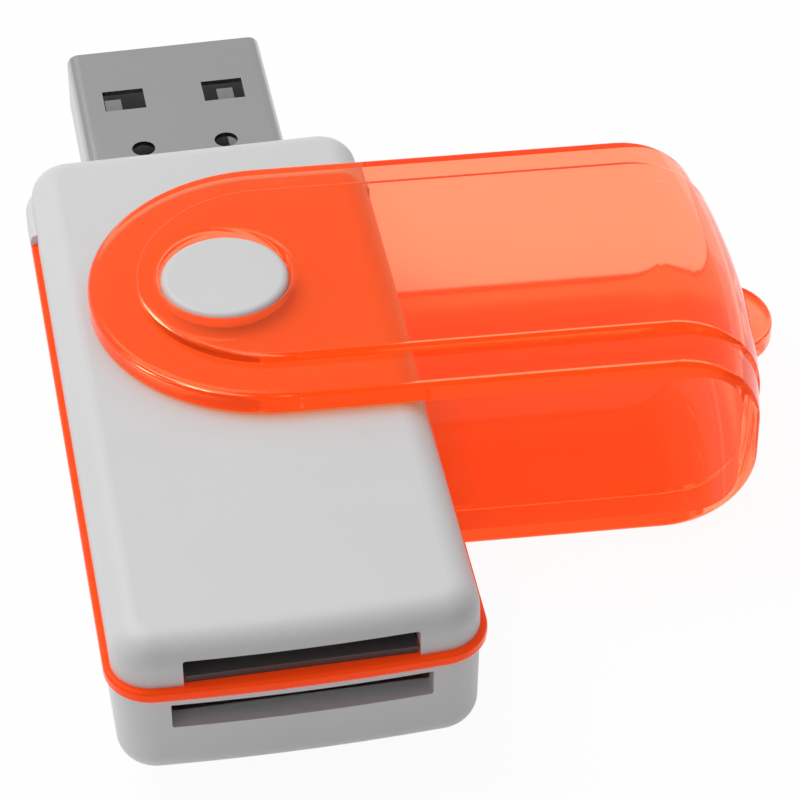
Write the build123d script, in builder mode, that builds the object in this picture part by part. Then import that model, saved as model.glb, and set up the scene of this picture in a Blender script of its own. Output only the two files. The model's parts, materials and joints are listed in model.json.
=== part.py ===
from build123d import *
from math import cos, radians, sin, sqrt
import os

# USB memory card reader with a swivel cap.
# Millimetres. The origin is the centre of the plug's open end, +Y points out of the plug, +Z is up.
# The plug's axis lies a little above the mid-plane that the housing and the cap share.

# USB plug: a folded steel shell round a contact carrier
plug_width = 12.0
plug_height = 4.5
plug_sheet = 0.3
plug_corner = 0.7
plug_length = 12.0
plug_seat = 6.0
plug_clearance = 0.1
window_width = 2.5
window_length = 2.0
window_pitch = 6.1
window_from_tip = 5.16
grip_hole = 1.4
grip_pitch = 5.0
grip_from_tip = 10.25
tongue_clearance = 0.15
tongue_from_tip = 0.6
contact_width = 1.0
contact_sheet = 0.25
contact_from_tip = 2.0
contact_tail = 1.6
contact_joggle = 0.6
contact_inner_pitch = 2.0
contact_outer_pitch = 7.0

# Housing: two drafted shells closed on a flat middle frame that stands proud of them
plug_reach = 27.63
card_reach = 27.44
plug_lift = 0.56
side_room = 0.73
roof_room = 0.1
frame_proud = 0.38
frame_thickness = 0.75
frame_height = 1.015
frame_round = 0.2
front_bulge = 0.38
corner_radius = 2.6
inner_corner = 0.8
wall = 1.05
draft_angle = 1.0
top_round = 1.6
bottom_round = 1.5
collar_length = 5.2
collar_rise = 0.65
collar_round = 0.35
post_diameter = 2.2
post_pin_diameter = 1.2
post_pin_reach = 1.6
post_pitch = 13.0
post_from_plug = 3.6
post_socket_wall = 0.6
pin_clearance = 0.1
rib_thickness = 1.0
rib_width = 9.0

# Pivot: round bosses moulded on both shells turn in holes through the cap's arms
boss_diameter = 7.26
boss_height = 1.4
boss_round = 0.45
pivot_clearance = 0.07
arm_gap = 0.2

# Swivel cap: one U-shaped moulding with a raised panel that runs round the bend
cap_angle = -3.3
cap_width = 20.34
cap_wall = 1.22
cap_end_wall = 1.0
cap_room = 0.45
hole_land = 1.24
bend_radius = 5.0
inner_bend_radius = 2.5
end_bow = 0.95
ledge_width = 2.75
panel_rise = 0.57
panel_end_rise = 0.12
panel_round = 0.25
rim_round = 0.4
dish = 0.45
eyelet_radius = 3.3
eyelet_projection = 1.78
eyelet_thickness = 1.4
eyelet_hole = 1.6
eyelet_wall = 1.15
eyelet_round = 0.3

# Circuit board and what it carries
board_margin = 0.35
board_clearance = 0.1
chip_size = 7.0
chip_thickness = 1.4
chip_standoff = 0.1
chip_bevel = 0.2
chip_mark = 0.5
chip_mark_inset = 1.1
chip_mark_depth = 0.1
lead_count = 12
lead_pitch = 0.5
lead_width = 0.22
lead_sheet = 0.15
lead_reach = 1.0
lead_foot = 0.5
crystal_length = 3.2
crystal_width = 2.5
crystal_thickness = 0.9
crystal_round = 0.3
part_gap = 0.6
led_length = 2.0
led_width = 1.25
led_thickness = 0.8
led_lens_bevel = 0.25
led_from_edge = 1.9
capacitor_length = 1.6
capacitor_width = 0.8
capacitor_thickness = 0.8
resistor_length = 1.6
resistor_width = 0.8
resistor_thickness = 0.45
small_part_pitch = 1.9
small_part_count = 4

# Card sockets: the upper one above the board, the lower one below it
upper_slot_width = 12.3
upper_slot_height = 1.65
lower_slot_width = 13.7
lower_slot_height = 1.66
lower_slot_land = 0.6
slot_round = 0.15
slot_clearance = 0.1
socket_length = 15.0
socket_setback = 0.3
socket_side = 0.6
socket_sheet = 0.2
socket_floor = 0.45
socket_back = 1.2
socket_relief = 0.1
cover_window_width = 2.0
cover_window_length = 5.0
cover_window_pitch = 6.0
finger_count = 8
finger_pitch = 1.1
finger_width = 0.5
finger_sheet = 0.15
finger_length = 7.0
finger_foot = 1.5
finger_tip = 1.0
finger_rise = 0.45
finger_dip = 0.25

# Places that follow from the sizes above
pivot_y = -plug_reach
collar_end_y = -plug_length
collar_start_y = collar_end_y - collar_length
card_end_y = pivot_y - card_reach
plug_back_y = collar_end_y - plug_seat
frame_top = frame_height + frame_thickness / 2
frame_bottom = frame_height - frame_thickness / 2
ceiling = frame_top + upper_slot_height + roof_room
housing_mid = -plug_lift
half_thickness = ceiling + wall - housing_mid
housing_top = housing_mid + half_thickness
housing_bottom = housing_mid - half_thickness
floor_level = housing_bottom + wall
lower_cover_width = lower_slot_width - 2 * slot_clearance + 2 * socket_side + 2 * socket_sheet
board_width = lower_cover_width + 2 * board_margin
inner_width = board_width + 2 * side_room
shell_width = inner_width + 2 * wall
frame_width = shell_width + 2 * frame_proud
shell_corner = corner_radius - frame_proud
shell_front_y = card_end_y + frame_proud
shell_back_y = collar_end_y - frame_proud
inner_front_y = shell_front_y + front_bulge + wall
inner_back_y = shell_back_y - wall
board_front_y = inner_front_y + board_clearance
board_back_y = plug_back_y - board_clearance
board_middle_y = (board_back_y + board_front_y) / 2
socket_front_y = board_front_y + socket_setback
socket_back_y = socket_front_y + socket_length
post_y = plug_back_y - post_from_plug
rib_y = (plug_back_y + inner_back_y) / 2
crystal_y = board_back_y - part_gap - crystal_width / 2
chip_y = crystal_y - crystal_width / 2 - part_gap - lead_reach - chip_size / 2
small_part_y = (socket_back_y + chip_y - chip_size / 2 - lead_reach) / 2
led_x = board_width / 2 - led_from_edge
tongue_width = plug_width - 2 * plug_sheet - 2 * tongue_clearance
tongue_height = plug_height / 2 - plug_sheet
arm_inside = half_thickness + arm_gap
arm_outside = arm_inside + cap_wall
panel_outside = arm_outside + panel_rise
pivot_hole_radius = boss_diameter / 2 + pivot_clearance
cap_reach = sqrt(plug_reach**2 + (plug_width / 2) ** 2) + cap_room + cap_end_wall
panel_reach = cap_reach + panel_rise
cap_half = cap_width / 2
panel_half = cap_half - ledge_width
cap_end_offset = cap_half - ledge_width - hole_land - pivot_hole_radius
bow_radius = (cap_half**2 + end_bow**2) / (2 * end_bow)
bow_turn = 25
eyelet_tip = cap_reach + eyelet_projection

# Planes that face away from the board: above the frame and below it
above_frame = Plane(origin=(0, 0, frame_top), x_dir=(1, 0, 0), z_dir=(0, 0, 1))
below_frame = Plane(origin=(0, 0, frame_bottom), x_dir=(-1, 0, 0), z_dir=(0, 0, -1))
below_land = below_frame.offset(lower_slot_land)
above_housing = Plane(origin=(0, pivot_y, housing_top), x_dir=(1, 0, 0), z_dir=(0, 0, 1))
below_housing = Plane(origin=(0, pivot_y, housing_bottom), x_dir=(-1, 0, 0), z_dir=(0, 0, -1))

# Planes of the cap: its plan about the pivot, and the section that is turned about the bow's centre
cap_x = (cos(radians(cap_angle)), sin(radians(cap_angle)), 0)
cap_plan = Plane(origin=(0, pivot_y, housing_mid), x_dir=cap_x, z_dir=(0, 0, 1))
bow_centre = cap_plan.from_local_coords((cap_reach - bow_radius, 0, 0))
bow_axis = Axis(bow_centre, (0, 0, 1))
bow_start = radians(cap_angle - bow_turn)
bow_section = Plane(
    origin=bow_centre,
    x_dir=(cos(bow_start), sin(bow_start), 0),
    z_dir=(sin(bow_start), -cos(bow_start), 0),
)

os.makedirs("parts", exist_ok=True)


def finish(piece, name):
    """Label a piece and write it."""
    piece.part.label = name
    export_step(piece.part, f"parts/{name}.step")


def housing_outline(plane, width, front_y, back_y, corner):
    """Plan of the housing: straight sides, rounded corners and a gently bowed card end."""
    side = width / 2
    with BuildSketch(plane) as outline:
        with BuildLine():
            ThreePointArc((-side, front_y + front_bulge), (0, front_y), (side, front_y + front_bulge))
            Line((side, front_y + front_bulge), (side, back_y))
            Line((side, back_y), (-side, back_y))
            Line((-side, back_y), (-side, front_y + front_bulge))
        make_face()
        fillet(outline.vertices(), corner)
    return outline.sketch


def inside_outline(plane):
    """Plan of the room inside the shells' walls."""
    with BuildSketch(plane) as outline:
        with Locations((0, (inner_front_y + inner_back_y) / 2)):
            RectangleRounded(inner_width, inner_back_y - inner_front_y, inner_corner)
    return outline.sketch


def plug_section(grow):
    """Rounded section of the plug, grown or shrunk on every side."""
    with BuildSketch(Plane.XZ) as section:
        RectangleRounded(plug_width + 2 * grow, plug_height + 2 * grow, plug_corner + grow)
    return section.sketch


def slot_outline(plane, width, height):
    """Card slot in the wall of the card end: square towards the frame, rounded away from it."""
    slot_plane = Plane(origin=(0, inner_front_y, plane.origin.Z), x_dir=plane.x_dir, z_dir=(0, -1, 0))
    with BuildSketch(slot_plane) as slot:
        with Locations((0, height / 2)):
            Rectangle(width, height)
        fillet(slot.vertices().group_by(Axis.Y)[-1], slot_round)
    return slot.sketch


def round_boss(plane):
    """Pivot boss with a rounded rim, standing on a broad face of the housing."""
    with BuildPart() as boss:
        with BuildSketch(plane):
            Circle(boss_diameter / 2)
        extrude(amount=boss_height)
        outer_end = boss.faces().sort_by_distance((0, 0, 0))[-1]
        fillet(outer_end.edges(), boss_round)
    return boss.part


# Collar of the top shell: carries the frame's line round the plug end
with BuildPart() as collar:
    with BuildSketch(Plane.XY.offset(frame_bottom)) as collar_plan:
        with Locations((0, (collar_start_y + collar_end_y) / 2)):
            Rectangle(frame_width, collar_length)
        fillet(collar_plan.vertices().group_by(Axis.Y)[-1], corner_radius)
    extrude(amount=frame_thickness + collar_rise)
    fillet(collar.faces().sort_by(Axis.Z)[-1].edges().sort_by(Axis.Y)[1:], collar_round)

# Top shell: drafted cover with soft edges, boss, upper slot, and sockets for the lower shell's pins
with BuildPart() as top_shell:
    extrude(
        housing_outline(above_frame, shell_width, shell_front_y, shell_back_y, shell_corner),
        amount=housing_top - frame_top,
        taper=draft_angle,
    )
    fillet(top_shell.faces().sort_by(Axis.Z)[-1].edges(), top_round)
    add(collar.part)
    add(round_boss(above_housing))
    extrude(inside_outline(Plane.XY.offset(frame_bottom)), amount=ceiling - frame_bottom, mode=Mode.SUBTRACT)
    extrude(plug_section(plug_clearance), amount=plug_length + plug_seat, mode=Mode.SUBTRACT)
    extrude(
        slot_outline(above_frame, upper_slot_width, upper_slot_height),
        amount=inner_front_y - card_end_y,
        mode=Mode.SUBTRACT,
    )
    with BuildSketch(above_frame):
        with Locations((0, post_y)), GridLocations(post_pitch, 1, 2, 1):
            Circle(post_pin_diameter / 2 + pin_clearance + post_socket_wall)
    extrude(amount=ceiling - frame_top)
    with BuildSketch(above_frame):
        with Locations((0, post_y)), GridLocations(post_pitch, 1, 2, 1):
            Circle(post_pin_diameter / 2 + pin_clearance)
    extrude(amount=post_pin_reach + pin_clearance, mode=Mode.SUBTRACT)
    with BuildSketch(Plane.XY.offset(plug_height / 2)):
        with Locations((0, rib_y)):
            Rectangle(rib_width, rib_thickness)
    extrude(amount=ceiling - plug_height / 2)
finish(top_shell, "top_shell")

# Bottom shell: deeper tray with its own boss, lower slot, plug cradle and two stepped posts
with BuildPart() as bottom_shell:
    extrude(
        housing_outline(below_frame, shell_width, shell_front_y, shell_back_y, shell_corner),
        amount=frame_bottom - housing_bottom,
        taper=draft_angle,
    )
    fillet(bottom_shell.faces().sort_by(Axis.Z)[0].edges(), bottom_round)
    add(round_boss(below_housing))
    extrude(inside_outline(below_frame), amount=frame_bottom - floor_level, mode=Mode.SUBTRACT)
    extrude(plug_section(plug_clearance), amount=plug_length + plug_seat, mode=Mode.SUBTRACT)
    extrude(
        slot_outline(below_land, lower_slot_width, lower_slot_height),
        amount=inner_front_y - card_end_y,
        mode=Mode.SUBTRACT,
    )
    with BuildSketch(Plane.XY.offset(floor_level)):
        with Locations((0, post_y)), GridLocations(post_pitch, 1, 2, 1):
            Circle(post_diameter / 2)
    extrude(amount=frame_bottom - floor_level)
    with BuildSketch(Plane.XY.offset(frame_bottom)):
        with Locations((0, post_y)), GridLocations(post_pitch, 1, 2, 1):
            Circle(post_pin_diameter / 2)
    extrude(amount=frame_thickness + post_pin_reach)
    with BuildSketch(Plane.XY.offset(floor_level)):
        with Locations((0, rib_y)):
            Rectangle(rib_width, rib_thickness)
    extrude(amount=-plug_height / 2 - floor_level)
finish(bottom_shell, "bottom_shell")

# Middle frame: flat U round the board, clamped between the shells, stopping at the collar
with BuildPart() as middle_frame:
    extrude(
        housing_outline(Plane.XY.offset(frame_bottom), frame_width, card_end_y, collar_end_y, corner_radius),
        amount=frame_thickness,
    )
    fillet(middle_frame.edges().filter_by(Axis.Z, reverse=True), frame_round)
    with BuildSketch(Plane.XY.offset(frame_bottom)):
        with Locations((0, (inner_front_y + collar_end_y) / 2)):
            Rectangle(board_width + 2 * board_clearance, collar_end_y - inner_front_y)
    extrude(amount=frame_thickness, mode=Mode.SUBTRACT)
    split(bisect_by=Plane.XZ.offset(-collar_start_y), keep=Keep.TOP)
finish(middle_frame, "middle_frame")


def bent_solid(half_height, end_radius, bend):
    """Long section with two round bends, turned about the bow's centre so that its end bows out."""
    back = bow_radius - cap_reach + cap_end_offset - cap_half - cap_wall
    with BuildPart() as solid:
        with BuildSketch(bow_section):
            with BuildLine():
                FilletPolyline(
                    (back, half_height),
                    (end_radius, half_height),
                    (end_radius, -half_height),
                    (back, -half_height),
                    radius=bend,
                )
                Line((back, -half_height), (back, half_height))
            make_face()
        revolve(axis=bow_axis, revolution_arc=2 * bow_turn)
    return solid.part


def arm_outline(half_width):
    """Plan of one cap arm: a round end beyond the pivot and straight sides that run past the bend."""
    past_bend = panel_reach + cap_wall
    with BuildSketch(cap_plan) as outline:
        with BuildLine():
            Line((cap_end_offset, half_width), (past_bend, half_width))
            Line((past_bend, half_width), (past_bend, -half_width))
            Line((past_bend, -half_width), (cap_end_offset, -half_width))
            ThreePointArc(
                (cap_end_offset, -half_width),
                (cap_end_offset - half_width, 0),
                (cap_end_offset, half_width),
            )
        make_face()
    return outline.sketch


def cap_block(half_width, rise, end_rise, edge_round):
    """Outside of the cap as a solid block with rounded rims: the ledges, or the panel raised on them."""
    with BuildPart() as block:
        add(bent_solid(arm_outside + rise, bow_radius + end_rise, bend_radius + rise))
        extrude(arm_outline(half_width), amount=panel_outside + cap_wall, both=True, mode=Mode.INTERSECT)

        def is_rim(edge):
            """Not a smooth seam that crosses the middle of the bend."""
            middle = cap_plan.to_local_coords(edge @ 0.5)
            return middle.X < 0 or abs(middle.Y) > half_width / 2

        def is_at_bend(edge):
            """Beyond the middle of the arms, and so no seam beside the round ends."""
            return cap_plan.to_local_coords(edge @ 0.5).X > cap_reach / 2

        arm_rims = block.edges().filter_by(Axis.Z, reverse=True).filter_by(is_rim)
        bend_rims = block.edges().filter_by(Axis.Z).filter_by(is_at_bend)
        fillet([*arm_rims, *bend_rims], edge_round)
    return block.part


# Eyelet: rounded disc with a cord hole, its inner part taken up by the bend
with BuildPart() as eyelet:
    with BuildSketch(cap_plan):
        with Locations((eyelet_tip - eyelet_radius, 0)):
            Circle(eyelet_radius)
    extrude(amount=eyelet_thickness / 2, both=True)
    fillet(eyelet.edges().filter_by(GeomType.CIRCLE), eyelet_round)
    with BuildSketch(cap_plan):
        with Locations((eyelet_tip - eyelet_wall - eyelet_hole / 2, 0)):
            Circle(eyelet_hole / 2)
    extrude(amount=eyelet_thickness / 2, both=True, mode=Mode.SUBTRACT)

# Swivel cap: ledges and panel hollowed as one U, with dished pivot holes and a lanyard eyelet
with BuildPart() as swivel_cap:
    add(cap_block(cap_half, 0, 0, rim_round))
    add(cap_block(panel_half, panel_rise, panel_end_rise, panel_round))
    add(eyelet.part)
    add(bent_solid(arm_inside, bow_radius - cap_end_wall, inner_bend_radius), mode=Mode.SUBTRACT)
    with BuildSketch(cap_plan):
        Circle(pivot_hole_radius)
    extrude(amount=panel_outside, both=True, mode=Mode.SUBTRACT)
    hole_rims = swivel_cap.edges().filter_by(GeomType.CIRCLE)
    hole_rims = hole_rims.filter_by(lambda edge: abs(edge.radius - pivot_hole_radius) < rim_round)
    fillet(hole_rims.filter_by(lambda edge: abs(edge.center().Z - housing_mid) > arm_outside), dish)
finish(swivel_cap, "swivel_cap")

# Plug shell: folded steel tube with windows in both broad sides and grip holes in the top
with BuildPart() as usb_shell:
    extrude(plug_section(0), amount=plug_length + plug_seat)
    extrude(plug_section(-plug_sheet), amount=plug_length + plug_seat, mode=Mode.SUBTRACT)
    with BuildSketch(Plane.XY):
        with Locations((0, -window_from_tip)), GridLocations(window_pitch, 1, 2, 1):
            Rectangle(window_width, window_length)
    extrude(amount=plug_height, both=True, mode=Mode.SUBTRACT)
    with BuildSketch(Plane.XY):
        with Locations((0, -grip_from_tip)), GridLocations(grip_pitch, 1, 2, 1):
            Circle(grip_hole / 2)
    extrude(amount=plug_height, mode=Mode.SUBTRACT)
finish(usb_shell, "usb_shell")

contact_places = [
    -contact_outer_pitch / 2,
    -contact_inner_pitch / 2,
    contact_inner_pitch / 2,
    contact_outer_pitch / 2,
]

# Contact carrier: half-height tongue on the shell's floor and a full-height block at the back
with BuildPart() as usb_tongue:
    with BuildSketch(Plane.XZ.offset(tongue_from_tip)) as tongue_section:
        with Locations((0, -tongue_height / 2)):
            Rectangle(tongue_width, tongue_height)
        fillet(tongue_section.vertices().group_by(Axis.Y)[0], plug_corner - plug_sheet)
    extrude(amount=plug_length + plug_seat - tongue_from_tip)
    with BuildSketch(Plane.XZ.offset(plug_length)):
        RectangleRounded(tongue_width, 2 * tongue_height, plug_corner - plug_sheet)
    extrude(amount=plug_seat)
    with BuildSketch(Plane.XZ.offset(contact_from_tip)):
        for place in contact_places:
            with Locations((place, -contact_sheet / 2)):
                Rectangle(contact_width, contact_sheet)
    extrude(amount=plug_length + plug_seat - contact_from_tip, mode=Mode.SUBTRACT)
finish(usb_tongue, "usb_tongue")

# Contacts: flat strips flush in the carrier, their tails stepped up to the board's underside
for number, place in enumerate(contact_places, start=1):
    with BuildPart() as usb_contact:
        with BuildSketch(Plane.YZ.offset(place)):
            with BuildLine():
                Polyline(
                    (-contact_from_tip, 0),
                    (plug_back_y, 0),
                    (plug_back_y - contact_joggle, frame_bottom),
                    (plug_back_y - contact_joggle - contact_tail, frame_bottom),
                    (plug_back_y - contact_joggle - contact_tail, frame_bottom - contact_sheet),
                    (plug_back_y - contact_joggle, frame_bottom - contact_sheet),
                    (plug_back_y, -contact_sheet),
                    (-contact_from_tip, -contact_sheet),
                    close=True,
                )
            make_face()
        extrude(amount=contact_width / 2, both=True)
    finish(usb_contact, f"usb_contact_{number}")

# Circuit board: as thick as the frame round it, with holes for the posts' pins
with BuildPart() as circuit_board:
    with BuildSketch(Plane.XY.offset(frame_bottom)):
        with Locations((0, board_middle_y)):
            Rectangle(board_width, board_back_y - board_front_y)
        with Locations((0, post_y)), GridLocations(post_pitch, 1, 2, 1):
            Circle(post_pin_diameter / 2 + pin_clearance, mode=Mode.SUBTRACT)
    extrude(amount=frame_thickness)
finish(circuit_board, "circuit_board")

# Controller chip: bevelled body with a row of gull-wing leads on each side
chip_plane = Plane(origin=(0, chip_y, frame_top), x_dir=(1, 0, 0), z_dir=(0, 0, 1))
lead_level = chip_standoff + chip_thickness / 2
lead_end = chip_size / 2 + lead_reach
lead_knee = lead_end - lead_foot

with BuildPart() as lead_row:
    for number in range(lead_count):
        place = (number - (lead_count - 1) / 2) * lead_pitch
        with BuildSketch(Plane.XZ.offset(place)):
            with BuildLine():
                Polyline(
                    (chip_size / 2 - lead_sheet, lead_level),
                    (lead_knee, lead_level),
                    (lead_knee, lead_sheet),
                    (lead_end, lead_sheet),
                    (lead_end, 0),
                    (lead_knee - lead_sheet, 0),
                    (lead_knee - lead_sheet, lead_level - lead_sheet),
                    (chip_size / 2 - lead_sheet, lead_level - lead_sheet),
                    close=True,
                )
            make_face()
        extrude(amount=lead_width / 2, both=True)

with BuildPart() as controller_chip:
    with BuildSketch(chip_plane.offset(chip_standoff)):
        Rectangle(chip_size, chip_size)
    extrude(amount=chip_thickness)
    chamfer(controller_chip.faces().sort_by(Axis.Z)[-1].edges(), chip_bevel)
    with BuildSketch(chip_plane.offset(chip_standoff + chip_thickness)):
        with Locations((chip_mark_inset - chip_size / 2, chip_mark_inset - chip_size / 2)):
            Circle(chip_mark / 2)
    extrude(amount=-chip_mark_depth, mode=Mode.SUBTRACT)
    with Locations((0, chip_y, frame_top)):
        for quarter in range(4):
            add(lead_row.part, rotation=(0, 0, 90 * quarter))
finish(controller_chip, "controller_chip")

# Crystal: low metal can between the chip and the plug
with BuildPart() as crystal:
    with BuildSketch(above_frame):
        with Locations((0, crystal_y)):
            RectangleRounded(crystal_length, crystal_width, crystal_round)
    extrude(amount=crystal_thickness)
finish(crystal, "crystal")

# Activity light: small block with a bevelled lens
with BuildPart() as activity_led:
    with BuildSketch(above_frame):
        with Locations((led_x, chip_y)):
            Rectangle(led_width, led_length)
    extrude(amount=led_thickness)
    chamfer(activity_led.faces().sort_by(Axis.Z)[-1].edges(), led_lens_bevel)
finish(activity_led, "activity_led")

# Chip capacitors on the board's top and chip resistors on its underside
for number in range(small_part_count):
    place = (number - (small_part_count - 1) / 2) * small_part_pitch
    with BuildPart() as capacitor:
        with BuildSketch(above_frame):
            with Locations((place, small_part_y)):
                Rectangle(capacitor_length, capacitor_width)
        extrude(amount=capacitor_thickness)
    finish(capacitor, f"capacitor_{number + 1}")
    with BuildPart() as resistor:
        with BuildSketch(below_frame):
            with Locations((place, chip_y)):
                Rectangle(resistor_length, resistor_width)
        extrude(amount=resistor_thickness)
    finish(resistor, f"resistor_{number + 1}")


def card_socket(name, plane, slot_width, slot_height, floor, lip):
    """Card socket on one face of the board: moulded base, folded cover and a row of contact fingers."""
    height = slot_height - socket_relief
    room = slot_width - 2 * slot_clearance
    base_width = room + 2 * socket_side
    pocket_length = socket_length - socket_back
    outward = Plane(origin=(0, socket_front_y, plane.origin.Z), x_dir=plane.x_dir, z_dir=plane.z_dir)
    upright = Plane(origin=outward.origin, x_dir=outward.y_dir, z_dir=outward.x_dir)
    along = Plane(origin=outward.origin, x_dir=-outward.x_dir, z_dir=outward.y_dir)

    with BuildPart() as base:
        with BuildSketch(outward):
            with Locations((0, socket_length / 2)):
                Rectangle(base_width, socket_length)
        extrude(amount=height - socket_sheet)
        with BuildSketch(outward.offset(floor)):
            with Locations((0, pocket_length / 2)):
                Rectangle(room, pocket_length)
        extrude(amount=height, mode=Mode.SUBTRACT)
        with BuildSketch(outward):
            with Locations((0, -lip / 2)):
                Rectangle(room, lip)
        extrude(amount=floor)
    finish(base, f"{name}_socket_base")

    with BuildPart() as cover:
        with BuildSketch(along):
            with Locations((0, height / 2)):
                Rectangle(base_width + 2 * socket_sheet, height)
            with Locations((0, (height - socket_sheet) / 2)):
                Rectangle(base_width, height - socket_sheet, mode=Mode.SUBTRACT)
        extrude(amount=socket_length)
        with BuildSketch(outward.offset(height)):
            with Locations((0, pocket_length / 2)), GridLocations(cover_window_pitch, 1, 2, 1):
                Rectangle(cover_window_width, cover_window_length)
        extrude(amount=-socket_sheet, mode=Mode.SUBTRACT)
    finish(cover, f"{name}_socket_cover")

    for number in range(finger_count):
        place = (number - (finger_count - 1) / 2) * finger_pitch
        spine = [
            (pocket_length, floor),
            (pocket_length - finger_foot, floor),
            (pocket_length - finger_length + finger_tip, floor + finger_rise),
            (pocket_length - finger_length, floor + finger_rise - finger_dip),
        ]
        with BuildPart() as finger:
            with BuildSketch(upright.offset(place)):
                with BuildLine():
                    Polyline(*spine, *[(y, z + finger_sheet) for y, z in reversed(spine)], close=True)
                make_face()
            extrude(amount=finger_width / 2, both=True)
        finish(finger, f"{name}_finger_{number + 1}")


# The upper base has a tongue through its slot; the lower base meets the land inside the wall
socket_gap = board_clearance + socket_setback
card_socket("upper", above_frame, upper_slot_width, upper_slot_height, socket_floor, wall + socket_gap)
lower_depth = lower_slot_land + lower_slot_height
card_socket("lower", below_frame, lower_slot_width, lower_depth, lower_slot_land, socket_gap)
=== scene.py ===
import json
import math

import bmesh
import bpy
from mathutils import Matrix, Vector


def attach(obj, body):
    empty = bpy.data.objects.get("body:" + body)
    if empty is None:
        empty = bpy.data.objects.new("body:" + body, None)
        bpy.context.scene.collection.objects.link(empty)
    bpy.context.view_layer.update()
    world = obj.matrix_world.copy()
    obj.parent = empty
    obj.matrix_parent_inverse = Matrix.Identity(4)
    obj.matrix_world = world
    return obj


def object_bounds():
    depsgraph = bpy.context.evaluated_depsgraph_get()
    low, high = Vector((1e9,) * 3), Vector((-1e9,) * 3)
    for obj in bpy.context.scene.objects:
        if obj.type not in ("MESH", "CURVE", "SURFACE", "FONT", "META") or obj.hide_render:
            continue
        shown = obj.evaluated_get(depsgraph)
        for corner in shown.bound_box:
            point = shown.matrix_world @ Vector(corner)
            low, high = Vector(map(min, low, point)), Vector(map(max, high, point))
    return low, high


# Card reader with a swivel cap, in metres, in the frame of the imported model.

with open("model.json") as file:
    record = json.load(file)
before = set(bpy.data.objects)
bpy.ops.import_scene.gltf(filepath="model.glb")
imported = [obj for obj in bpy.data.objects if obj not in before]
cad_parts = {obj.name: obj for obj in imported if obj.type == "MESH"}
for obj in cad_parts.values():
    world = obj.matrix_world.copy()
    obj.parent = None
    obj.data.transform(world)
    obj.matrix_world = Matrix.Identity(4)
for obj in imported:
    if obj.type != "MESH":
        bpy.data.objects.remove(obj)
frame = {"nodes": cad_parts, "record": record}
nodes = frame["nodes"]
cad_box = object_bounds()
MM = 0.001

# Camera
CAMERA_AIM = Vector((9.09, -32.48, -0.56)) * MM
CAMERA_DISTANCE = 203.62 * MM
CAMERA_AZIMUTH = math.radians(-10.367)
CAMERA_ELEVATION = math.radians(41.083)
CAMERA_SENSOR = 36.0
CAMERA_LENS = 162.27
CAMERA_NEAR_LIMIT = 10 * MM

# Pivot bosses, and the rounded crown on each
PIVOT = Vector(frame["record"]["behaviour"]["joints"][0]["pos_m"])
BOSS_END = 6.15 * MM
CROWN_RADIUS = 3.64 * MM
CROWN_RISE = 0.4 * MM
CROWN_SKIRT = 0.46 * MM
CROWN_ROUND = 0.45 * MM
CROWN_ROUND_STEPS = 8
CROWN_INSET = 0.1 * MM
CROWN_SEGMENTS = 96
CROWN_SHARP_ANGLE = math.radians(40)

# Surface detail: noise scales are in cells to the metre
SKIN_DRIFT_SCALE = 140.0
SKIN_GRAIN_SCALE = 9000.0
METAL_LINE_SCALE = (9000.0, 220.0, 9000.0)
METAL_PATCH_SCALE = 260.0
RELIEF_DEPTH = 0.02 * MM

# Cap: how far a face looks up or down where it stops being a rim, and where it is all broad face, for
# its painted glow that is dimmer on rims as painted shade; then the strength of that painted glow
RIM_UPRIGHT = 0.7
FACE_UPRIGHT = 0.98
CAP_PAINTED_GLOW = 0.17
# Strength of the painted glow of the frame, which is no lamp
FRAME_PAINTED_GLOW = 0.25

# Light
SKY_FRONT = 0.05
SKY_BACK = 0.6
KEY_POWER = 1.05
KEY_SIZE = 0.3
KEY_PLACE = Vector((-0.15, 0.14, 0.38))
SKY_BRIGHT_SIDE = (-0.45, 0.89, 0.0)

# Floor: the plain white share seen directly or mirrored, and the share seen through the cap
FLOOR_SIZE = 4.0
FLOOR_COLOUR = (0.97, 0.97, 0.97, 1)
FLOOR_WHITE = 0.95
FLOOR_WHITE_THROUGH = 0.03
FLOOR_GAP = 0.05 * MM


def srgb(red, green, blue):
    """Linear colour of an eight-bit screen colour."""
    channels = []
    for value in (red, green, blue):
        share = value / 255
        channels.append(share / 12.92 if share <= 0.04045 else ((share + 0.055) / 1.055) ** 2.4)
    return (*channels, 1.0)


def new_material(name):
    """Material with one shader joined to its output."""
    material = bpy.data.materials.new(name)
    material.use_nodes = True
    tree = material.node_tree
    tree.nodes.clear()
    output = tree.nodes.new("ShaderNodeOutputMaterial")
    shader = tree.nodes.new("ShaderNodeBsdfPrincipled")
    tree.links.new(shader.outputs["BSDF"], output.inputs["Surface"])
    return material, shader


def node_group(name, sockets_in, sockets_out):
    """Empty shader group with the named inputs and outputs."""
    group = bpy.data.node_groups.new(name, "ShaderNodeTree")
    for label, kind, value in sockets_in:
        socket = group.interface.new_socket(label, in_out="INPUT", socket_type=kind)
        socket.default_value = value
    for label, kind in sockets_out:
        group.interface.new_socket(label, in_out="OUTPUT", socket_type=kind)
    start = group.nodes.new("NodeGroupInput")
    end = group.nodes.new("NodeGroupOutput")
    return group, start, end


def noise(tree, scale, detail, vector):
    """Noise texture on a coordinate; scale is a number or a socket."""
    texture = tree.nodes.new("ShaderNodeTexNoise")
    texture.inputs["Detail"].default_value = detail
    if isinstance(scale, (int, float)):
        texture.inputs["Scale"].default_value = scale
    else:
        tree.links.new(scale, texture.inputs["Scale"])
    tree.links.new(vector, texture.inputs["Vector"])
    return texture


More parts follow.
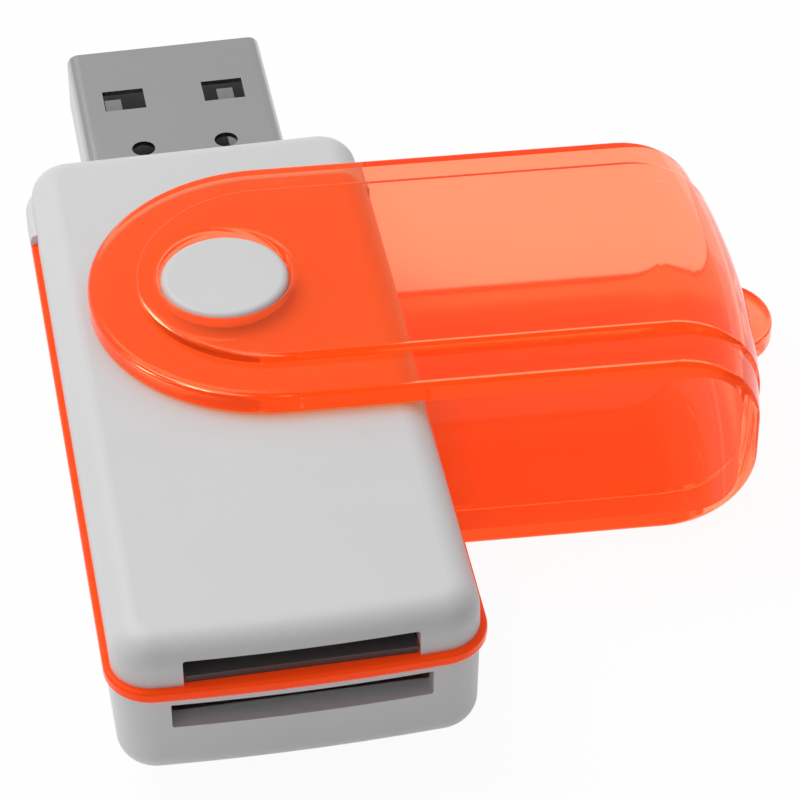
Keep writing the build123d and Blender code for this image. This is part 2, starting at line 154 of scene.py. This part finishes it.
def moulded_skin_group():
    """Skin of moulded plastic: slow drifts of tone, and a fine grain in gloss and height."""
    group, start, end = node_group(
        "moulded skin",
        [
            ("Colour", "NodeSocketColor", (0.8, 0.8, 0.8, 1)),
            ("Shade", "NodeSocketColor", (0.7, 0.7, 0.7, 1)),
            ("Grain", "NodeSocketFloat", SKIN_GRAIN_SCALE),
            ("Gloss low", "NodeSocketFloat", 0.3),
            ("Gloss high", "NodeSocketFloat", 0.4),
        ],
        [
            ("Colour", "NodeSocketColor"),
            ("Roughness", "NodeSocketFloat"),
            ("Height", "NodeSocketFloat"),
        ],
    )
    place = group.nodes.new("ShaderNodeTexCoord")
    drift = noise(group, SKIN_DRIFT_SCALE, 3.0, place.outputs["Object"])
    grain = noise(group, start.outputs["Grain"], 2.0, place.outputs["Object"])
    tone = group.nodes.new("ShaderNodeMix")
    tone.data_type = "RGBA"
    group.links.new(drift.outputs["Fac"], tone.inputs["Factor"])
    group.links.new(start.outputs["Colour"], tone.inputs["A"])
    group.links.new(start.outputs["Shade"], tone.inputs["B"])
    gloss = group.nodes.new("ShaderNodeMapRange")
    group.links.new(grain.outputs["Fac"], gloss.inputs["Value"])
    group.links.new(start.outputs["Gloss low"], gloss.inputs["To Min"])
    group.links.new(start.outputs["Gloss high"], gloss.inputs["To Max"])
    group.links.new(tone.outputs["Result"], end.inputs["Colour"])
    group.links.new(gloss.outputs["Result"], end.inputs["Roughness"])
    group.links.new(grain.outputs["Fac"], end.inputs["Height"])
    return group


def rolled_metal_group():
    """Rolled sheet metal: fine lines along the strip, broken up by patches of tone."""
    group, start, end = node_group(
        "rolled metal",
        [
            ("Colour", "NodeSocketColor", (0.6, 0.6, 0.6, 1)),
            ("Shade", "NodeSocketColor", (0.5, 0.5, 0.5, 1)),
            ("Gloss low", "NodeSocketFloat", 0.25),
            ("Gloss high", "NodeSocketFloat", 0.4),
        ],
        [
            ("Colour", "NodeSocketColor"),
            ("Roughness", "NodeSocketFloat"),
            ("Height", "NodeSocketFloat"),
        ],
    )
    place = group.nodes.new("ShaderNodeTexCoord")
    stretch = group.nodes.new("ShaderNodeMapping")
    stretch.inputs["Scale"].default_value = METAL_LINE_SCALE
    group.links.new(place.outputs["Object"], stretch.inputs["Vector"])
    lines = noise(group, 1.0, 3.0, stretch.outputs["Vector"])
    patches = noise(group, METAL_PATCH_SCALE, 3.0, place.outputs["Object"])
    mixed = group.nodes.new("ShaderNodeMath")
    mixed.operation = "MULTIPLY"
    group.links.new(lines.outputs["Fac"], mixed.inputs[0])
    group.links.new(patches.outputs["Fac"], mixed.inputs[1])
    tone = group.nodes.new("ShaderNodeMix")
    tone.data_type = "RGBA"
    group.links.new(mixed.outputs["Value"], tone.inputs["Factor"])
    group.links.new(start.outputs["Colour"], tone.inputs["A"])
    group.links.new(start.outputs["Shade"], tone.inputs["B"])
    gloss = group.nodes.new("ShaderNodeMapRange")
    group.links.new(lines.outputs["Fac"], gloss.inputs["Value"])
    group.links.new(start.outputs["Gloss low"], gloss.inputs["To Min"])
    group.links.new(start.outputs["Gloss high"], gloss.inputs["To Max"])
    group.links.new(tone.outputs["Result"], end.inputs["Colour"])
    group.links.new(gloss.outputs["Result"], end.inputs["Roughness"])
    group.links.new(lines.outputs["Fac"], end.inputs["Height"])
    return group


MOULDED_SKIN = moulded_skin_group()
ROLLED_METAL = rolled_metal_group()


def dress(material, shader, group, values, bump):
    """Place a surface group in a material and feed the shader from it."""
    tree = material.node_tree
    skin = tree.nodes.new("ShaderNodeGroup")
    skin.node_tree = group
    for label, value in values.items():
        skin.inputs[label].default_value = value
    relief = tree.nodes.new("ShaderNodeBump")
    relief.inputs["Strength"].default_value = bump
    relief.inputs["Distance"].default_value = RELIEF_DEPTH
    tree.links.new(skin.outputs["Colour"], shader.inputs["Base Color"])
    tree.links.new(skin.outputs["Roughness"], shader.inputs["Roughness"])
    tree.links.new(skin.outputs["Height"], relief.inputs["Height"])
    tree.links.new(relief.outputs["Normal"], shader.inputs["Normal"])


def moulded(name, colour, shade, gloss):
    """Opaque moulded plastic; gloss is the lowest and the highest roughness."""
    material, shader = new_material(name)
    values = {
        "Colour": colour,
        "Shade": shade,
        "Grain": SKIN_GRAIN_SCALE,
        "Gloss low": gloss[0],
        "Gloss high": gloss[1],
    }
    dress(material, shader, MOULDED_SKIN, values, bump=0.15)
    shader.inputs["IOR"].default_value = 1.5
    return material


def sheet_metal(name, colour, shade, gloss):
    """Rolled or plated sheet metal; gloss is the lowest and the highest roughness."""
    material, shader = new_material(name)
    values = {"Colour": colour, "Shade": shade, "Gloss low": gloss[0], "Gloss high": gloss[1]}
    dress(material, shader, ROLLED_METAL, values, bump=0.12)
    shader.inputs["Metallic"].default_value = 1.0
    return material


def painted_glow_face_and_rim(tree, face_glow_colour, rim_glow_colour):
    """Painted glow colour of the broad faces, which look up or down, that turns to another on rims and
    end wall, where a dimmer one gives painted shade.
    """
    place = tree.nodes.new("ShaderNodeTexCoord")
    split = tree.nodes.new("ShaderNodeSeparateXYZ")
    tree.links.new(place.outputs["Normal"], split.inputs["Vector"])
    upright = tree.nodes.new("ShaderNodeMath")
    upright.operation = "ABSOLUTE"
    tree.links.new(split.outputs["Z"], upright.inputs[0])
    share = tree.nodes.new("ShaderNodeMapRange")
    share.interpolation_type = "SMOOTHSTEP"
    share.inputs["From Min"].default_value = RIM_UPRIGHT
    share.inputs["From Max"].default_value = FACE_UPRIGHT
    tree.links.new(upright.outputs["Value"], share.inputs["Value"])
    colour = tree.nodes.new("ShaderNodeMix")
    colour.data_type = "RGBA"
    tree.links.new(share.outputs["Result"], colour.inputs["Factor"])
    colour.inputs["A"].default_value = rim_glow_colour
    colour.inputs["B"].default_value = face_glow_colour
    return colour.outputs["Result"]


def clear_orange(name):
    """Clear orange plastic of the cap: tints what is behind it and lets tinted light through, with a
    painted red glow that is dimmer on rims and end wall as painted shade.
    """
    material, shader = new_material(name)
    tree = material.node_tree
    values = {
        "Colour": (1.0, 0.36, 0.2, 1),
        "Shade": (1.0, 0.33, 0.18, 1),
        "Grain": 700.0,
        "Gloss low": 0.03,
        "Gloss high": 0.08,
    }
    dress(material, shader, MOULDED_SKIN, values, bump=0.03)
    shader.inputs["Transmission Weight"].default_value = 1.0
    shader.inputs["IOR"].default_value = 1.45
    shader.inputs["Specular Tint"].default_value = (1.0, 0.45, 0.2, 1)
    # Painted glow: the cap glows red though it is no lamp, dimmer on rims and end wall as painted
    # shade
    glow = painted_glow_face_and_rim(tree, face_glow_colour=(1.0, 0.1, 0.01, 1), rim_glow_colour=(0.7, 0.06, 0.006, 1))
    tree.links.new(glow, shader.inputs["Emission Color"])
    shader.inputs["Emission Strength"].default_value = CAP_PAINTED_GLOW
    # Shadow and diffuse rays pass straight through with a tint
    through = tree.nodes.new("ShaderNodeBsdfTransparent")
    through.inputs["Color"].default_value = (1.0, 0.5, 0.25, 1)
    path = tree.nodes.new("ShaderNodeLightPath")
    passes = tree.nodes.new("ShaderNodeMath")
    passes.operation = "MAXIMUM"
    tree.links.new(path.outputs["Is Shadow Ray"], passes.inputs[0])
    tree.links.new(path.outputs["Is Diffuse Ray"], passes.inputs[1])
    choice = tree.nodes.new("ShaderNodeMixShader")
    tree.links.new(passes.outputs["Value"], choice.inputs["Fac"])
    tree.links.new(shader.outputs["BSDF"], choice.inputs[1])
    tree.links.new(through.outputs["BSDF"], choice.inputs[2])
    tree.links.new(choice.outputs["Shader"], tree.nodes["Material Output"].inputs["Surface"])
    return material


def orange_with_painted_glow(name):
    """Orange plastic of the frame, with a painted glow that stands in for the light a translucent band
    lets through from within.
    """
    material, shader = new_material(name)
    values = {
        "Colour": (1.0, 0.07, 0.008, 1),
        "Shade": (0.95, 0.06, 0.006, 1),
        "Grain": 2500.0,
        "Gloss low": 0.16,
        "Gloss high": 0.24,
    }
    dress(material, shader, MOULDED_SKIN, values, bump=0.1)
    shader.inputs["Specular Tint"].default_value = (1.0, 0.25, 0.08, 1)
    # Painted glow: the frame glows orange though it is no lamp
    shader.inputs["Emission Color"].default_value = (1.0, 0.06, 0.006, 1)
    shader.inputs["Emission Strength"].default_value = FRAME_PAINTED_GLOW
    return material


def finishes():
    """One material for each slot of the record."""
    return {
        "shell_white": moulded(
            "shell plastic", srgb(216, 216, 217), srgb(210, 210, 211), (0.38, 0.5)
        ),
        "frame_orange": orange_with_painted_glow("frame plastic"),
        "cap_orange": clear_orange("cap plastic"),
        "plug_steel": sheet_metal(
            "plug steel", (0.53, 0.53, 0.53, 1), (0.46, 0.46, 0.46, 1), (0.22, 0.3)
        ),
        "carrier_white": moulded(
            "carrier plastic", srgb(96, 96, 95), srgb(84, 84, 83), (0.45, 0.6)
        ),
        "contact_gilt": sheet_metal(
            "contact plating", (0.5, 0.495, 0.48, 1), (0.42, 0.415, 0.4, 1), (0.3, 0.42)
        ),
        "board_green": moulded(
            "board lacquer", (0.02, 0.13, 0.05, 1), (0.015, 0.1, 0.04, 1), (0.2, 0.32)
        ),
        "chip_black": moulded(
            "chip mould", (0.02, 0.02, 0.021, 1), (0.014, 0.014, 0.015, 1), (0.5, 0.65)
        ),
        "crystal_can": sheet_metal(
            "crystal can", (0.75, 0.75, 0.77, 1), (0.62, 0.62, 0.64, 1), (0.2, 0.3)
        ),
        "led_lens": moulded(
            "lens resin", srgb(232, 226, 205), srgb(222, 214, 190), (0.08, 0.15)
        ),
        "capacitor_tan": moulded(
            "capacitor body", (0.27, 0.17, 0.09, 1), (0.21, 0.13, 0.07, 1), (0.4, 0.55)
        ),
        "resistor_black": moulded(
            "resistor body", (0.02, 0.02, 0.022, 1), (0.03, 0.03, 0.03, 1), (0.35, 0.5)
        ),
        "socket_black": moulded(
            "socket plastic", srgb(92, 92, 90), srgb(84, 84, 82), (0.4, 0.55)
        ),
        "socket_grey": moulded(
            "tray plastic", srgb(126, 126, 124), srgb(116, 116, 114), (0.4, 0.55)
        ),
        "cover_steel": sheet_metal(
            "cover steel", (0.5, 0.5, 0.5, 1), (0.4, 0.4, 0.4, 1), (0.25, 0.4)
        ),
    }


def dress_nodes(materials):
    """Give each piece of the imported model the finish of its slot."""
    for entry in frame["record"]["subparts"]:
        mesh = nodes[entry["node"]].data
        mesh.materials.clear()
        mesh.materials.append(materials[entry["material_slot"]])


def boss_crown(name, side, material):
    """Rounded crown that brings a pivot boss almost flush with the raised panel of the cap."""
    start = BOSS_END - CROWN_SKIRT
    end = BOSS_END + CROWN_RISE
    middle = PIVOT + Vector((0, 0, side * (start + end) / 2))
    shape = bmesh.new()
    bmesh.ops.create_cone(
        shape,
        cap_ends=True,
        segments=CROWN_SEGMENTS,
        radius1=CROWN_RADIUS,
        radius2=CROWN_RADIUS,
        depth=end - start,
        matrix=Matrix.Translation(middle),
    )
    outer_rim = []
    for edge in shape.edges:
        if all((vertex.co.z - middle.z) * side > 0 for vertex in edge.verts):
            outer_rim.append(edge)
    bmesh.ops.bevel(
        shape,
        geom=outer_rim,
        offset=CROWN_ROUND,
        segments=CROWN_ROUND_STEPS,
        profile=0.5,
        affect="EDGES",
        material=-1,
    )
    outer_face = max(shape.faces, key=lambda face: (face.calc_center_median().z - middle.z) * side)
    bmesh.ops.inset_region(shape, faces=[outer_face], thickness=CROWN_INSET, use_even_offset=True)
    for face in shape.faces:
        face.smooth = True
    bmesh.ops.recalc_face_normals(shape, faces=shape.faces)
    mesh = bpy.data.meshes.new(name)
    shape.to_mesh(mesh)
    shape.free()
    mesh.set_sharp_from_angle(angle=CROWN_SHARP_ANGLE)
    mesh.materials.append(material)
    crown = bpy.data.objects.new(name, mesh)
    bpy.context.scene.collection.objects.link(crown)
    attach(crown, "reader")


def make_floor():
    """Pale table top just under the lower arm, plain white where it is seen directly or mirrored."""
    low = cad_box[0][2] - FLOOR_GAP
    bpy.ops.mesh.primitive_plane_add(size=FLOOR_SIZE, location=(0, 0, low))
    floor = bpy.context.object
    floor.name = "floor"
    material, shader = new_material("floor white")
    tree = material.node_tree
    shader.inputs["Base Color"].default_value = FLOOR_COLOUR
    shader.inputs["Roughness"].default_value = 0.9
    shader.inputs["Specular IOR Level"].default_value = 0.0
    glow = tree.nodes.new("ShaderNodeEmission")
    path = tree.nodes.new("ShaderNodeLightPath")
    # Refracted rays count as glossy too, so they are taken off to leave the mirrored ones
    mirrored = tree.nodes.new("ShaderNodeMath")
    mirrored.operation = "SUBTRACT"
    tree.links.new(path.outputs["Is Glossy Ray"], mirrored.inputs[0])
    tree.links.new(path.outputs["Is Transmission Ray"], mirrored.inputs[1])
    seen = tree.nodes.new("ShaderNodeMath")
    seen.operation = "MAXIMUM"
    tree.links.new(path.outputs["Is Camera Ray"], seen.inputs[0])
    tree.links.new(mirrored.outputs["Value"], seen.inputs[1])
    direct = tree.nodes.new("ShaderNodeMath")
    direct.operation = "MULTIPLY"
    direct.inputs[1].default_value = FLOOR_WHITE
    tree.links.new(seen.outputs["Value"], direct.inputs[0])
    share = tree.nodes.new("ShaderNodeMath")
    share.operation = "MULTIPLY_ADD"
    share.inputs[1].default_value = FLOOR_WHITE_THROUGH
    tree.links.new(path.outputs["Is Transmission Ray"], share.inputs[0])
    tree.links.new(direct.outputs["Value"], share.inputs[2])
    blend = tree.nodes.new("ShaderNodeMixShader")
    tree.links.new(share.outputs["Value"], blend.inputs["Fac"])
    tree.links.new(shader.outputs["BSDF"], blend.inputs[1])
    tree.links.new(glow.outputs["Emission"], blend.inputs[2])
    tree.links.new(blend.outputs["Shader"], tree.nodes["Material Output"].inputs["Surface"])
    floor.data.materials.append(material)


def make_light():
    """Sky that is brighter behind the reader and to its left, and one large soft lamp above it."""
    world = bpy.data.worlds.new("sky")
    world.use_nodes = True
    tree = world.node_tree
    background = tree.nodes["Background"]
    background.inputs["Color"].default_value = (1, 1, 1, 1)
    direction = tree.nodes.new("ShaderNodeTexCoord")
    facing = tree.nodes.new("ShaderNodeVectorMath")
    facing.operation = "DOT_PRODUCT"
    facing.inputs[1].default_value = SKY_BRIGHT_SIDE
    tree.links.new(direction.outputs["Generated"], facing.inputs[0])
    ramp = tree.nodes.new("ShaderNodeMapRange")
    ramp.interpolation_type = "SMOOTHSTEP"
    ramp.inputs["From Min"].default_value = -1.0
    ramp.inputs["From Max"].default_value = 0.0
    ramp.inputs["To Min"].default_value = SKY_FRONT
    ramp.inputs["To Max"].default_value = SKY_BACK
    tree.links.new(facing.outputs["Value"], ramp.inputs["Value"])
    tree.links.new(ramp.outputs["Result"], background.inputs["Strength"])
    bpy.context.scene.world = world
    lamp = bpy.data.lights.new("key", "AREA")
    lamp.shape = "SQUARE"
    lamp.size = KEY_SIZE
    lamp.energy = KEY_POWER
    key = bpy.data.objects.new("key", lamp)
    key.location = CAMERA_AIM + KEY_PLACE
    key.rotation_euler = (CAMERA_AIM - key.location).to_track_quat("-Z", "Y").to_euler()
    bpy.context.scene.collection.objects.link(key)


def make_camera():
    """Long lens at the photograph's angle."""
    data = bpy.data.cameras.new("camera")
    data.sensor_width = CAMERA_SENSOR
    data.lens = CAMERA_LENS
    data.clip_start = CAMERA_NEAR_LIMIT
    camera = bpy.data.objects.new("camera", data)
    level = math.cos(CAMERA_ELEVATION)
    back = Vector((
        math.sin(CAMERA_AZIMUTH) * level,
        -math.cos(CAMERA_AZIMUTH) * level,
        math.sin(CAMERA_ELEVATION),
    ))
    camera.location = CAMERA_AIM + CAMERA_DISTANCE * back
    camera.rotation_euler = (-back).to_track_quat("-Z", "Y").to_euler()
    bpy.context.scene.collection.objects.link(camera)
    bpy.context.scene.camera = camera


materials = finishes()
dress_nodes(materials)
boss_crown("top_boss_crown", 1, materials["shell_white"])
boss_crown("bottom_boss_crown", -1, materials["shell_white"])
make_floor()
make_light()
make_camera()
bpy.context.scene.view_settings.view_transform = "Standard"
